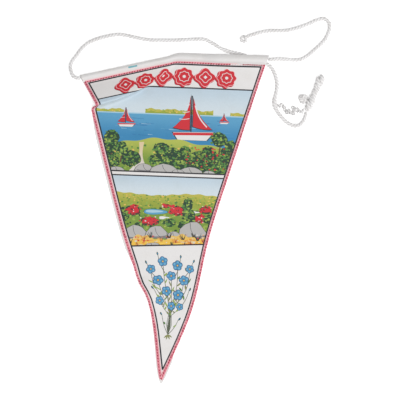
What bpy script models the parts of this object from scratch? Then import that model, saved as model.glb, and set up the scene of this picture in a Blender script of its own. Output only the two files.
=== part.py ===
"""A small triangular pennant of printed satin, lying face up, with a twisted cord through its top hem.

The cloth is described flat first, by a place across it and a place down it, in millimetres. The point
0, 0 is on its middle line, where the printed frame begins under the hem. The function surface() then
says where that point of the cloth lies: flat on the ground over most of its area, raised in a folded
ridge at the upper left, and lifted a little where the cord passes under the right top corner.
"""

import math

import bmesh
import bpy
from mathutils import Vector

MM = 0.001  # metres in a millimetre
GAP = 0.3  # clearance between neighbouring pieces

# Flat cut of the cloth
FRAME_LENGTH = 244.8  # from the frame's top line to its lower point
TAPER = 0.29  # half width that the frame gains for each millimetre up from that point
THICK = 1.0
STITCH = -1.6  # the hem's stitch line
HEM_TOP = -9.4  # the hem's top fold
TIP = 255.6

# Cloth outside the printed frame, measured across
EDGES = (
    # down, left, right
    (-9.4, 4.0, 3.2),
    (42.0, 3.8, 2.6),
    (54.0, 5.2, 3.0),
    (62.0, 5.6, 3.2),
    (147.0, 5.6, 3.2),
    (158.0, 3.8, 3.2),
    (167.0, 2.4, 3.2),
    (189.0, 3.2, 3.2),
    (210.0, 4.2, 3.2),
    (232.0, 4.6, 3.2),
    (238.0, 4.8, 4.8),
    (250.0, 4.8, 4.9),
    (253.2, 4.4, 4.4),
    (TIP, 3.9, 3.9),
)

# How the flat cloth lies, seen from above
ORIGIN = Vector((-1.74, 123.2))  # where the flat cloth's 0, 0 lies
LEAN = math.radians(2.2)  # the middle line leans to the left going down
SWAY = 6.2  # how far the lower part swings to the right
SWAY_DOWN = 194.0
SWAY_REACH = 44.0
SWAY_TURN = 0.65  # share of the swing that turns the rows as well

# The ridge at the upper left: the corner beyond its crease is turned and tilted
KINK = 3.0  # where the crease meets the frame's top line, across
CORNER_ACROSS = Vector((0.937, 0.213))  # what 1 mm across becomes there, seen from above
CORNER_DOWN = Vector((0.124, -0.769))  # what 1 mm down becomes there
CREASE_FALL = 0.839  # fall of the crease at the kink
CREASE_LEVELS = 0.00558  # how fast it levels out to the left
CREASE_SOFT = 1.2  # half width of the fold at the kink
CREASE_OPENS = 0.129  # half width that it gains for each millimetre to the left
KINK_BEFORE = 7.0
KINK_AFTER = 5.0
RIDGE_HEIGHT = 17.0
RIDGE_LENGTH = 74.0

# The lift over the cord that passes under the right top corner
UNDER_START = Vector((40.1, 133.8))
UNDER_END = Vector((76.5, 119.1))
LIFT = 3.5
LIFT_FLAT = 3.0
LIFT_REACH = 20.0

# The small ripple where the left edge is drawn in
RIPPLE = 2.2
RIPPLE_DOWN = 184.0
RIPPLE_REACH = 16.0
RIPPLE_WIDTH = 20.0

# Cord
CORD = 2.6  # diameter
REST = CORD / 2 + 0.05  # height of a lying cord's middle
CORD_STEP = 6.6  # between a tube's points
STRAIGHT = 2.5  # a cord leaves the hem straight for this length
SETTLES = 20.0  # then comes down to the ground over this length
YARN = 1.1
YARN_STEP = 1.6

# Section of the hem, as heights over the cloth's underside
CHANNEL_DOWN = -5.5
CHANNEL_RISE = 2.95
CHANNEL_RADIUS = 1.95
HEM_SECTION = (
    # down, rise
    (-2.6, 2.1),
    (-3.6, 4.6),
    (-4.8, 5.8),
    (-6.2, 5.8),
    (-7.4, 4.6),
    (-8.4, 2.1),
    (HEM_TOP, 1.0),
    (HEM_TOP, 0.15),
    (-7.7, 0.0),
    (CHANNEL_DOWN, 0.0),
    (-3.3, 0.0),
)

COLUMNS = 27
FOLD_DOWN = 50.0  # rows are close together down to here
FOLD_ROWS = 17
PLAIN_ROWS = 26

# Routes on the ground, from the hem's mouths outwards
LOOP_ROUTE = (
    # x, y
    (-80.6, 113.1),
    (-82.6, 118.1),
    (-82.7, 122.2),
    (-81.1, 125.8),
    (-78.5, 129.1),
    (-75.9, 132.9),
    (-72.6, 136.6),
    (-68.4, 140.0),
    (-63.6, 142.2),
    (-58.3, 143.9),
    (-53.1, 145.2),
    (-47.5, 146.2),
    (-41.9, 146.3),
    (-35.9, 145.2),
    (-29.9, 143.9),
    (-20.1, 142.2),
    (-3.8, 141.8),
    (10.5, 142.3),
    (23.3, 142.6),
    (30.9, 139.3),
    (38.1, 135.0),
    (45.3, 132.5),
    (52.5, 131.0),
    (62.9, 127.2),
    (71.7, 124.1),
    (77.3, 120.3),
    (80.6, 114.3),
    (82.2, 107.1),
    (81.5, 100.3),
    (80.1, 94.3),
    (80.6, 88.7),
    (83.3, 83.6),
    (87.1, 79.0),
    (92.1, 74.9),
    (98.1, 73.4),
    (102.1, 76.0),
    (104.5, 80.3),
    (105.7, 84.8),
)
END_ROUTE = (
    # x, y
    (83.3, 126.8),
    (88.5, 126.6),
    (94.9, 126.2),
    (100.9, 126.6),
    (105.7, 129.0),
    (110.3, 132.7),
    (115.1, 137.0),
    (119.4, 141.3),
    (122.6, 146.6),
    (124.1, 151.9),
    (123.3, 156.5),
    (119.3, 159.1),
    (113.5, 157.8),
    (108.2, 155.4),
    (102.9, 153.3),
    (95.4, 150.9),
    (88.5, 149.6),
    (81.5, 149.5),
    (75.1, 149.4),
    (68.5, 148.1),
    (62.1, 146.2),
    (57.7, 144.6),
)
YARN_ROUTE = (
    # x, y
    (82.9, 89.4),
    (86.9, 90.1),
    (88.1, 86.9),
    (89.6, 84.5),
    (91.4, 85.5),
    (94.4, 82.9),
    (95.8, 84.7),
    (95.2, 88.2),
    (97.7, 87.1),
    (99.7, 85.0),
    (103.9, 85.7),
)
BUNDLE = (
    # x, y, radius
    (105.8, 85.2, 1.6),
    (108.3, 91.1, 3.0),
    (110.3, 95.7, 2.5),
    (112.5, 100.7, 2.3),
    (114.7, 105.9, 2.6),
    (116.8, 110.5, 3.1),
    (118.0, 113.1, 1.6),
)
LOOP_KNOT = Vector((102.8, 95.2))
LOOP_KNOT_RADIUS = 3.6
END_KNOT = Vector((55.0, 142.6))
END_KNOT_RADIUS = 2.6
KNOT_FLATTENED = 0.85
KNOT_LUMPS = 0.07

WHITE_SATIN = ("white_satin", (0.80, 0.79, 0.78, 1.0), 0.45)
WHITE_CORD = ("white_cord", (0.74, 0.73, 0.72, 1.0), 0.85)


def clear_scene():
    for old in list(bpy.data.objects):
        bpy.data.objects.remove(old, do_unlink=True)


def material(name, colour, roughness):
    made = bpy.data.materials.get(name) or bpy.data.materials.new(name)
    made.use_nodes = True
    shader = made.node_tree.nodes["Principled BSDF"]
    shader.inputs["Base Color"].default_value = colour
    shader.inputs["Roughness"].default_value = roughness
    shader.inputs["Metallic"].default_value = 0.0
    return made


def smooth(t):
    t = min(max(t, 0.0), 1.0)
    return t * t * (3 - 2 * t)


def hill(distance, reach):
    """1 at no distance, falling to 0 at reach."""
    return max(0.0, 1 - (distance / reach) ** 2) ** 2


def read(table, down, column):
    """A column of EDGES at any place down the cloth."""
    for upper, lower in zip(table, table[1:]):
        if down <= lower[0]:
            share = (down - upper[0]) / (lower[0] - upper[0])
            return upper[column] + share * (lower[column] - upper[column])
    return table[-1][column]


def left_edge(down):
    return -TAPER * (FRAME_LENGTH - down) - read(EDGES, down, 1)


def right_edge(down):
    return TAPER * (FRAME_LENGTH - down) + read(EDGES, down, 2)


def crease(across):
    """Where the ridge's crease runs below this place across, and half its width."""
    left_of_kink = max(KINK - across, 0.0)
    down = (CREASE_FALL - CREASE_LEVELS * left_of_kink) * left_of_kink
    return down, CREASE_SOFT + CREASE_OPENS * left_of_kink


def corner_share(across, down):
    """1 on the tilted corner, 0 on the cloth that lies flat."""
    middle, half = crease(across)
    above = smooth((middle + half - down) / (2 * half))
    before = smooth((KINK + KINK_AFTER - across) / (KINK_BEFORE + KINK_AFTER))
    return above * before


def plan(across, down):
    """Where a point of the flat cloth lies, seen from above."""
    offset = (down - SWAY_DOWN) / SWAY_REACH
    swing = SWAY * math.exp(-(offset**2))
    turn = -2 * offset / SWAY_REACH * swing * SWAY_TURN
    x = across + swing
    y = -(down - turn * across)
    lower = ORIGIN + Vector(
        (x * math.cos(LEAN) + y * math.sin(LEAN), y * math.cos(LEAN) - x * math.sin(LEAN))
    )
    kink = ORIGIN + Vector((KINK * math.cos(LEAN), -KINK * math.sin(LEAN)))
    corner = kink + (across - KINK) * CORNER_ACROSS + down * CORNER_DOWN
    return lower.lerp(corner, corner_share(across, down))


def from_line(point, start, end):
    run = end - start
    share = min(max((point - start).dot(run) / run.length_squared, 0.0), 1.0)
    return (point - start - share * run).length


def height(across, down):
    """Height of the cloth's underside over the ground."""
    middle, half = crease(across)
    ridge = RIDGE_HEIGHT * max(KINK - across, 0.0) / RIDGE_LENGTH
    climb = min(max((down - HEM_TOP) / (middle - HEM_TOP), 0.0), 1.0)
    over_cord = from_line(plan(across, down), UNDER_START, UNDER_END)
    lift = LIFT * smooth((LIFT_REACH - over_cord) / (LIFT_REACH - LIFT_FLAT))
    at_edge = hill(across - left_edge(down), RIPPLE_WIDTH)
    ripple = RIPPLE * at_edge * hill(down - RIPPLE_DOWN, RIPPLE_REACH)
    return ridge * climb * corner_share(across, down) + lift + ripple


def surface(across, down, rise=0.0):
    """A point of the cloth, rise millimetres over its underside."""
    step = 0.5

    def at(a, d):
        seen = plan(a, d)
        return Vector((seen.x, seen.y, height(a, d)))

    along_across = at(across + step, down) - at(across - step, down)
    along_down = at(across, down + step) - at(across, down - step)
    return at(across, down) + rise * along_down.cross(along_across).normalized()


def sheet_rows():
    """Places down the cloth from its tip up to the stitch line."""
    plain = [TIP + (FOLD_DOWN - TIP) * i / PLAIN_ROWS for i in range(PLAIN_ROWS)]
    fold = [FOLD_DOWN + (STITCH - FOLD_DOWN) * i / FOLD_ROWS for i in range(FOLD_ROWS + 1)]
    return plain + fold


def cloth_section():
    """The closed outline of the cloth cut from tip to hem, as down and rise."""
    rows = sheet_rows()
    over = [(down, THICK) for down in rows]
    under = [(down, 0.0) for down in reversed(rows)]
    return over + list(HEM_SECTION) + under


def channel_section():
    """The channel's ring, with a point opposite each point of the hem's outline."""
    outline = [(STITCH, THICK), *HEM_SECTION, (STITCH, 0.0)]
    ring = []
    for down, rise in outline:
        angle = math.atan2(rise - CHANNEL_RISE, down - CHANNEL_DOWN)
        ring.append(
            (
                CHANNEL_DOWN + CHANNEL_RADIUS * math.cos(angle),
                CHANNEL_RISE + CHANNEL_RADIUS * math.sin(angle),
            )
        )
    return ring


def columns_of(mesh, section):
    """The section's points at each column across the cloth."""
    columns = []
    for j in range(COLUMNS + 1):
        column = []
        for down, rise in section:
            left, right = left_edge(down), right_edge(down)
            across = left + (right - left) * j / COLUMNS
            column.append(mesh.verts.new(MM * surface(across, down, rise)))
        columns.append(column)
    return columns


def skin(mesh, columns):
    """Faces from each column of points to the next."""
    for one, other in zip(columns, columns[1:]):
        for k in range(len(one)):
            following = (k + 1) % len(one)
            mesh.faces.new((one[k], one[following], other[following], other[k]))


def close_side(mesh, outer, inner):
    """The cloth's side wall, and the rim round the channel's mouth."""
    rows = len(sheet_rows())
    for k in range(rows - 1):
        mesh.faces.new((outer[k], outer[k + 1], outer[-k - 2], outer[-k - 1]))
    hem = outer[rows - 1 : len(outer) - rows + 1]
    for k in range(len(hem)):
        following = (k + 1) % len(hem)
        mesh.faces.new((hem[k], hem[following], inner[following], inner[k]))


def finish_mesh(mesh, name, look):
    bmesh.ops.recalc_face_normals(mesh, faces=mesh.faces)
    data = bpy.data.meshes.new(name)
    mesh.to_mesh(data)
    mesh.free()
    data.shade_smooth()
    data.set_sharp_from_angle(angle=math.radians(40))
    data.materials.append(material(*look))
    made = bpy.data.objects.new(name, data)
    bpy.context.scene.collection.objects.link(made)
    return made


def make_cloth():
    mesh = bmesh.new()
    outer = columns_of(mesh, cloth_section())
    inner = columns_of(mesh, channel_section())
    skin(mesh, outer)
    skin(mesh, inner)
    close_side(mesh, outer[0], inner[0])
    close_side(mesh, outer[-1], inner[-1])
    finish_mesh(mesh, "pennant_cloth", WHITE_SATIN)


def smooth_route(points, step):
    """Evenly spaced points on the smooth curve through a route's own points."""
    ends = [2 * points[0] - points[1], *points, 2 * points[-1] - points[-2]]
    fine = []
    for a, b, c, d in zip(ends, ends[1:], ends[2:], ends[3:]):
        for i in range(20):
            t = i / 20
            fine.append(
                0.5 * (2 * b + (c - a) * t + (2 * a - 5 * b + 4 * c - d) * t**2
                       + (3 * b - a - 3 * c + d) * t**3)
            )
    fine.append(points[-1])
    lengths = [0.0]
    for one, other in zip(fine, fine[1:]):
        lengths.append(lengths[-1] + (other - one).length)
    count = round(lengths[-1] / step)
    made, k = [], 0
    for i in range(count + 1):
        wanted = lengths[-1] * i / count
        while k < len(fine) - 2 and lengths[k + 1] < wanted:
            k += 1
        share = (wanted - lengths[k]) / (lengths[k + 1] - lengths[k])
        made.append(fine[k].lerp(fine[k + 1], min(share, 1.0)))
    return made


def tube(name, points, diameter, radii=None):
    """A curve object through the points, with filled caps."""
    curve = bpy.data.curves.new(name, "CURVE")
    curve.dimensions = "3D"
    curve.bevel_depth = MM * diameter / 2
    curve.bevel_resolution = 2
    curve.use_fill_caps = True
    spline = curve.splines.new("POLY")
    spline.points.add(len(points) - 1)
    for i, point in enumerate(points):
        spline.points[i].co = (*(MM * point), 1.0)
        spline.points[i].radius = radii[i] if radii else 1.0
    curve.materials.append(material(*WHITE_CORD))
    made = bpy.data.objects.new(name, curve)
    bpy.context.scene.collection.objects.link(made)


def free_route(held, route):
    """A route on from the end of the held cord, which comes down to the ground and lies on it."""
    outwards = (held[-1] - held[-2]).normalized()
    start = held[-1] + GAP * outwards
    points = [start + STRAIGHT * outwards]
    high = points[0].z - REST
    run = 0.0
    for x, y in route:
        run += math.dist((x, y), points[-1][:2])
        points.append(Vector((x, y, REST + high * (1 - smooth(run / SETTLES)))))
    return [start, *smooth_route(points, CORD_STEP)]


def make_cords():
    held = []
    for i in range(COLUMNS + 1):
        share = i / COLUMNS
        across = left_edge(CHANNEL_DOWN) * (1 - share) + right_edge(CHANNEL_DOWN) * share
        held.append(surface(across, CHANNEL_DOWN, CHANNEL_RISE))
    tube("hem_cord", held, CORD)
    tube("loop_cord", free_route(held[::-1], LOOP_ROUTE), CORD)
    tube("end_cord", free_route(held, END_ROUTE), CORD)
    yarn = [Vector((x, y, YARN / 2 + 0.05)) for x, y in YARN_ROUTE]
    tube("loose_yarn", smooth_route(yarn, YARN_STEP), YARN)


def make_bundle():
    """The doubled end, thicker where its strands turn."""
    points = [Vector((x, y, radius + 0.05)) for x, y, radius in BUNDLE]
    tube("loop_bundle", points, 2.0, [radius for x, y, radius in BUNDLE])


def make_knot(name, place, radius):
    """A wound ball, a little flattened, that rests on the ground."""
    mesh = bmesh.new()
    bmesh.ops.create_uvsphere(mesh, u_segments=16, v_segments=10, radius=radius)
    for vert in mesh.verts:
        turn = math.atan2(vert.co.y, vert.co.x)
        tall = vert.co.z / radius
        vert.co *= 1 + KNOT_LUMPS * math.sin(3 * turn + 4 * tall) * (1 - tall**2)
        vert.co.z = vert.co.z * KNOT_FLATTENED + radius * KNOT_FLATTENED + 0.05
        vert.co = MM * (vert.co + Vector((place.x, place.y, 0.0)))
    finish_mesh(mesh, name, WHITE_CORD)


def main():
    clear_scene()
    make_cloth()
    make_cords()
    make_bundle()
    make_knot("loop_knot", LOOP_KNOT, LOOP_KNOT_RADIUS)
    make_knot("end_knot", END_KNOT, END_KNOT_RADIUS)


main()
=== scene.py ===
"""A printed satin pennant lying face up, its hem threaded with a twisted cord.

The cloth is described flat, in millimetres: a place across it and a place down it from the frame's top
line. The print is drawn there, and lay() says where each point of the flat cloth comes to lie.
"""

import math
import random

import bmesh
import bpy
import numpy as np
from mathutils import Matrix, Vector
from mathutils.bvhtree import BVHTree
from mathutils.geometry import delaunay_2d_cdt


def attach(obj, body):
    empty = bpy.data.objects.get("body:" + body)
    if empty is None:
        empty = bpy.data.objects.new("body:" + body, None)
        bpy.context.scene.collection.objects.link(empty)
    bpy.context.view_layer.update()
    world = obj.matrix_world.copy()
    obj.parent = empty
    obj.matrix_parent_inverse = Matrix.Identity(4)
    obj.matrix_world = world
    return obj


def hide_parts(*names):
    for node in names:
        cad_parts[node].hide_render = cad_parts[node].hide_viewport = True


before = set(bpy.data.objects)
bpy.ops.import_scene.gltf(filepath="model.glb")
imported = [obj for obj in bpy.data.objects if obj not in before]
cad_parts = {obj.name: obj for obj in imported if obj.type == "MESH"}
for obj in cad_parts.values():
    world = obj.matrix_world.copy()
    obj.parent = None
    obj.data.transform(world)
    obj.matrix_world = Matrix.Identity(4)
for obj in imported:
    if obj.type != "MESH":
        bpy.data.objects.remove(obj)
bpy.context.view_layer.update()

MM = 0.001

# The flat cut, as in the model
FRAME_LENGTH = 244.8
TAPER = 0.29
STITCH = -1.6
HEM_TOP = -9.4
HEM_UNDER = -17.0  # the hem's turned-under edge
TIP = 255.6
THIN = 0.4  # real thickness of the satin
EDGES = np.array(
    (
        # down, left, right
        (-9.4, 4.0, 3.2),
        (42.0, 3.8, 2.6),
        (54.0, 5.2, 3.0),
        (62.0, 5.6, 3.2),
        (147.0, 5.6, 3.2),
        (158.0, 3.8, 3.2),
        (167.0, 2.4, 3.2),
        (189.0, 3.2, 3.2),
        (210.0, 4.2, 3.2),
        (232.0, 4.6, 3.2),
        (238.0, 4.8, 4.8),
        (250.0, 4.8, 4.9),
        (253.2, 4.4, 4.4),
        (TIP, 3.9, 3.9),
    )
)

# How the flat cloth lies, seen from above
ORIGIN = (-1.74, 123.2)
LEAN = math.radians(2.2)
SWAY, SWAY_DOWN, SWAY_REACH, SWAY_TURN = 6.2, 194.0, 44.0, 0.65

# The ridge at the upper left
KINK = 3.0
CORNER_ACROSS = (0.937, 0.213)
CORNER_DOWN = (0.124, -0.769)
CREASE_FALL, CREASE_LEVELS = 0.839, 0.00558
CREASE_SOFT, CREASE_OPENS = 1.2, 0.129
KINK_BEFORE, KINK_AFTER = 7.0, 5.0
RIDGE_HEIGHT, RIDGE_LENGTH = 17.0, 74.0

# The lift over the cord that passes under the right top corner
UNDER_START, UNDER_END = (40.1, 133.8), (76.5, 119.1)
LIFT, LIFT_FLAT, LIFT_REACH = 3.5, 3.0, 20.0

# The small ripple where the left edge is drawn in
RIPPLE, RIPPLE_DOWN, RIPPLE_REACH, RIPPLE_WIDTH = 2.2, 184.0, 16.0, 20.0

# How much further in the left edge is drawn, which only shows in the thin cloth
NIP = np.array(
    (
        # down, shift
        (150.0, 0.0),
        (160.0, -0.3),
        (168.0, -1.2),
        (175.0, -1.3),
        (182.0, 0.3),
        (188.0, 1.0),
        (215.0, 0.9),
        (230.0, 0.6),
        (245.0, 0.0),
    )
)
NIP_WIDTH = 26.0

# Path of the cloth round the cord in the hem
CHANNEL_DOWN, CHANNEL_RISE = -5.5, 2.95
HEM_PATH = np.array(
    (
        # place in the flat cut, down, rise
        (-17.0, -1.4, 0.45),
        (-15.0, -3.4, 0.45),
        (-13.0, -5.4, 0.45),
        (-11.5, -6.9, 0.5),
        (-10.4, -8.0, 0.65),
        (-9.8, -8.6, 1.0),
        (-9.4, -8.85, 1.5),
        (-8.9, -8.75, 2.1),
        (-8.2, -8.2, 3.0),
        (-7.3, -7.3, 3.9),
        (-6.4, -6.4, 4.4),
        (-5.5, -5.5, 4.55),
        (-4.6, -4.6, 4.35),
        (-3.8, -3.8, 3.7),
        (-3.0, -3.0, 2.5),
        (-2.3, -2.4, 1.3),
        (-1.6, -1.6, 0.6),
        (-0.8, -0.8, 0.45),
        (0.6, 0.6, 0.2),
        (3.0, 3.0, 0.0),
        (TIP, TIP, 0.0),
    )
)

# Cord
CORD = 2.6
CROWN = 1.72  # radius over the strands' crowns
LUMP = (81.7, 91.5)  # where the loose yarn leaves the cord
LUMP_RISE, LUMP_REACH = 0.3, 6.0
REST = CORD / 2 + 0.05
GAP = 0.3
STRAIGHT = 2.5
SETTLES = 20.0
YARN = 1.1
FILAMENT = 0.36
FILAMENT_CURLS = (
    # length of a curl, reach, start
    (3.3, 1.7, 0.3),
    (4.7, 1.4, 2.1),
    (2.6, 0.9, 4.0),
    (6.1, 1.1, 5.2),
)
LOOP_ROUTE = (
    # x, y
    (-80.6, 113.1),
    (-82.6, 118.1),
    (-82.7, 122.2),
    (-81.1, 125.8),
    (-78.5, 129.1),
    (-75.9, 132.9),
    (-72.6, 136.6),
    (-68.4, 140.0),
    (-63.6, 142.2),
    (-58.3, 143.9),
    (-53.1, 145.2),
    (-47.5, 146.2),
    (-41.9, 146.3),
    (-35.9, 145.2),
    (-29.9, 143.9),
    (-20.1, 142.2),
    (-3.8, 141.8),
    (10.5, 142.3),
    (23.3, 142.6),
    (30.9, 139.3),
    (38.1, 135.0),
    (45.3, 132.5),
    (52.5, 131.0),
    (62.9, 127.2),
    (71.7, 124.1),
    (77.3, 120.3),
    (80.6, 114.3),
    (82.2, 107.1),
    (81.5, 100.3),
    (80.1, 94.3),
    (80.6, 88.7),
    (83.3, 83.6),
    (87.1, 79.0),
    (92.1, 74.9),
    (98.1, 73.4),
    (102.1, 76.0),
    (104.5, 80.3),
    (105.7, 84.8),
)
END_ROUTE = (
    # x, y
    (83.3, 126.8),
    (88.5, 126.6),
    (94.9, 126.2),
    (100.9, 126.6),
    (105.7, 129.0),
    (110.3, 132.7),
    (115.1, 137.0),
    (119.4, 141.3),
    (122.6, 146.6),
    (124.1, 151.9),
    (123.3, 156.5),
    (119.3, 159.1),
    (113.5, 157.8),
    (108.2, 155.4),
    (102.9, 153.3),
    (95.4, 150.9),
    (88.5, 149.6),
    (81.5, 149.5),
    (75.1, 149.4),
    (68.5, 148.1),
    (62.1, 146.2),
    (57.7, 144.6),
)
YARN_ROUTE = (
    # x, y
    (82.9, 89.4),
    (86.9, 90.1),
    (88.1, 86.9),
    (89.6, 84.5),
    (91.4, 85.5),
    (94.4, 82.9),
    (95.8, 84.7),
    (95.2, 88.2),
    (97.7, 87.1),
    (99.7, 85.0),
    (103.9, 85.7),
)
YARN_FROM = (81.2, 90.2)  # inside the cord
BUNDLE = (
    # x, y, radius
    (105.8, 85.2, 1.6),
    (108.3, 91.1, 3.0),
    (110.3, 95.7, 2.5),
    (112.5, 100.7, 2.3),
    (114.7, 105.9, 2.6),
    (116.8, 110.5, 3.1),
    (118.0, 113.1, 1.6),
)
CLEAR = 0.1  # the doubled end's height over the ground
RUN_APART, RUN_RADIUS = 0.47, 0.52  # of its runs, as shares of the doubled end's radius
BUNDLE_TURN = 15.0  # length in which its runs wind once round each other
BUNDLE_PROUD = 1.32  # how far the soft cord stands proud of the model's solids
KNOT_PROUD = 1.18
LOOP_KNOT = (102.8, 95.2)
LOOP_KNOT_RADIUS = 3.6
KNOT_DRAWN = 3.6  # radius of the knot as its line is written, cord included
KNOT_TURN = 0.4
END_KNOT = (55.0, 142.6)
END_TURNS = 1.12


# Colours, as they look in daylight


def linear(red, green, blue):
    """A colour given in 0 to 255, as linear light."""
    tones = [tone / 255 for tone in (red, green, blue)]
    return tuple(t / 12.92 if t < 0.04 else ((t + 0.055) / 1.055) ** 2.4 for t in tones)


CLOTH = linear(228, 226, 225)
BLACK = linear(38, 36, 44)
RED = linear(205, 40, 52)
DEEP_RED = linear(128, 26, 44)
PINK = linear(244, 204, 206)
ROSE = linear(238, 166, 178)
CRIMSON = linear(192, 48, 76)
PINK_SHADE = linear(222, 160, 168)
ROSE_SHADE = linear(212, 108, 128)
CRIMSON_SHADE = linear(150, 26, 52)
SKY_HIGH = linear(190, 208, 221)
SKY_LOW = linear(208, 220, 227)
WATER_FAR = linear(92, 160, 198)
WATER_NEAR = linear(56, 134, 182)
WAVE = linear(44, 108, 164)
FOAM = linear(168, 204, 222)
SHORE = linear(186, 180, 78)
HILL = linear(150, 164, 62)
MEADOW = linear(120, 150, 58)
GRASS = linear(176, 186, 84)
LEAF = linear(84, 132, 62)
LEAF_LIGHT = linear(148, 176, 80)
LEAF_DARK = linear(34, 66, 46)
TRUNK = linear(92, 66, 50)
STONE = linear(182, 180, 178)
STONE_LIGHT = linear(214, 210, 204)
STONE_DARK = linear(122, 120, 124)
SAND = linear(222, 200, 160)
STRAW = linear(226, 186, 96)
STRAW_DEEP = linear(236, 190, 64)
STRAW_LIGHT = linear(244, 206, 92)
ORANGE = linear(220, 142, 60)
BLOSSOM = linear(74, 142, 184)
BLOSSOM_DARK = linear(34, 74, 122)
BLOSSOM_LIGHT = linear(112, 174, 206)
STEM = linear(84, 92, 72)
BUD = linear(132, 136, 82)
TEAL = linear(116, 180, 190)


# Lying of the cloth


def smooth(t):
    t = np.clip(t, 0.0, 1.0)
    return t * t * (3 - 2 * t)


def hill(distance, reach):
    return np.maximum(0.0, 1 - (distance / reach) ** 2) ** 2


def seen_down(down):
    """Places in the turned-under hem lie under those above its top fold."""
    return np.where(down < HEM_TOP, 2 * HEM_TOP - down, down)


def left_edge(down):
    down = seen_down(down)
    return -TAPER * (FRAME_LENGTH - down) - np.interp(down, EDGES[:, 0], EDGES[:, 1])


def right_edge(down):
    down = seen_down(down)
    return TAPER * (FRAME_LENGTH - down) + np.interp(down, EDGES[:, 0], EDGES[:, 2])


def crease(across):
    left_of_kink = np.maximum(KINK - across, 0.0)
    down = (CREASE_FALL - CREASE_LEVELS * left_of_kink) * left_of_kink
    return down, CREASE_SOFT + CREASE_OPENS * left_of_kink


def corner_share(across, down):
    middle, half = crease(across)
    above = smooth((middle + half - down) / (2 * half))
    before = smooth((KINK + KINK_AFTER - across) / (KINK_BEFORE + KINK_AFTER))
    return above * before


def plan(across, down):
    """Where a point of the flat cloth lies, seen from above."""
    offset = (down - SWAY_DOWN) / SWAY_REACH
    swing = SWAY * np.exp(-(offset**2))
    turn = -2 * offset / SWAY_REACH * swing * SWAY_TURN
    drawn_in = np.interp(down, NIP[:, 0], NIP[:, 1]) * hill(across - left_edge(down), NIP_WIDTH)
    x = across + swing + drawn_in
    y = -(down - turn * across)
    lower_x = ORIGIN[0] + x * math.cos(LEAN) + y * math.sin(LEAN)
    lower_y = ORIGIN[1] + y * math.cos(LEAN) - x * math.sin(LEAN)
    kink_x = ORIGIN[0] + KINK * math.cos(LEAN)
    kink_y = ORIGIN[1] - KINK * math.sin(LEAN)
    corner_x = kink_x + (across - KINK) * CORNER_ACROSS[0] + down * CORNER_DOWN[0]
    corner_y = kink_y + (across - KINK) * CORNER_ACROSS[1] + down * CORNER_DOWN[1]
    share = corner_share(across, down)
    return lower_x + share * (corner_x - lower_x), lower_y + share * (corner_y - lower_y)


def height(across, down):
    """Height of the cloth's underside over the ground."""
    middle, _ = crease(across)
    ridge = RIDGE_HEIGHT * np.maximum(KINK - across, 0.0) / RIDGE_LENGTH
    climb = np.clip((down - HEM_TOP) / (middle - HEM_TOP), 0.0, 1.0)
    x, y = plan(across, down)
    run_x, run_y = UNDER_END[0] - UNDER_START[0], UNDER_END[1] - UNDER_START[1]
    from_x, from_y = x - UNDER_START[0], y - UNDER_START[1]
    share = np.clip((from_x * run_x + from_y * run_y) / (run_x**2 + run_y**2), 0.0, 1.0)
    over_cord = np.hypot(from_x - share * run_x, from_y - share * run_y)
    lift = LIFT * smooth((LIFT_REACH - over_cord) / (LIFT_REACH - LIFT_FLAT))
    at_edge = hill(across - left_edge(down), RIPPLE_WIDTH)
    ripple = RIPPLE * at_edge * hill(down - RIPPLE_DOWN, RIPPLE_REACH)
    return ridge * climb * corner_share(across, down) + lift + ripple


def ground(across, down):
    x, y = plan(across, down)
    return np.stack((x, y, height(across, down)), -1)


def upright(across, down, step=0.5):
    """The cloth's own upward direction, without the hem."""
    along_across = ground(across + step, down) - ground(across - step, down)
    along_down = ground(across, down + step) - ground(across, down - step)
    normal = np.cross(along_down, along_across)
    return normal / np.linalg.norm(normal, axis=-1, keepdims=True)


def back_of(across, flat_down):
    """A point on the cloth's back, for a place in the flat cut, hem included."""
    down = np.interp(flat_down, HEM_PATH[:, 0], HEM_PATH[:, 1])
    rise = np.interp(flat_down, HEM_PATH[:, 0], HEM_PATH[:, 2])
    return ground(across, down) + rise[..., None] * upright(across, down)


def lay(across, flat_down, rise=0.0):
    """Points over the cloth's back, in metres. Its face is at a rise of THIN."""
    across, flat_down = np.asarray(across, float), np.asarray(flat_down, float)
    step = 0.3
    along_across = back_of(across + step, flat_down) - back_of(across - step, flat_down)
    along_down = back_of(across, flat_down + step) - back_of(across, flat_down - step)
    normal = np.cross(along_down, along_across)
    normal /= np.linalg.norm(normal, axis=-1, keepdims=True)
    return MM * (back_of(across, flat_down) + rise * normal)


# Drawing in the flat cut


class Drawing:
    """Filled outlines in paint order. An ink is a colour, or a function of across and down."""

    def __init__(self):
        self.shapes = []

    def fill(self, points, ink):
        points = np.asarray(points, float)
        x, y = points[:, 0], points[:, 1]
        area = np.sum(x * np.roll(y, -1) - y * np.roll(x, -1))
        self.shapes.append((points if area > 0 else points[::-1], ink))


def box(left, right, top, bottom):
    return [(left, top), (right, top), (right, bottom), (left, bottom)]


def blob(x, y, wide, tall, lobes=0, depth=0.0, turn=0.0, points=18):
    """A round or lobed outline."""
    angle = np.linspace(0, 2 * math.pi, points, endpoint=False)
    radius = 1 + depth * np.cos(lobes * angle + turn)
    return np.stack((x + wide * radius * np.cos(angle), y + tall * radius * np.sin(angle)), 1)


def rough(draw, x, y, wide, tall, points=9, depth=0.22):
    """An uneven round outline."""
    angle = np.linspace(0, 2 * math.pi, points, endpoint=False)
    radius = np.array([1 - depth * draw.random() for _ in angle])
    return np.stack((x + wide * radius * np.cos(angle), y + tall * radius * np.sin(angle)), 1)


def ribbon(points, width, end_width=None):
    """A band of this width along a line of points, which may narrow to end_width."""
    points = np.asarray(points, float)
    along = np.gradient(points, axis=0)
    along /= np.linalg.norm(along, axis=1, keepdims=True)
    side = np.stack((-along[:, 1], along[:, 0]), 1)
    widths = np.linspace(width, width if end_width is None else end_width, len(points))
    offset = side * widths[:, None] / 2
    return np.concatenate((points + offset, (points - offset)[::-1]))


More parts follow.
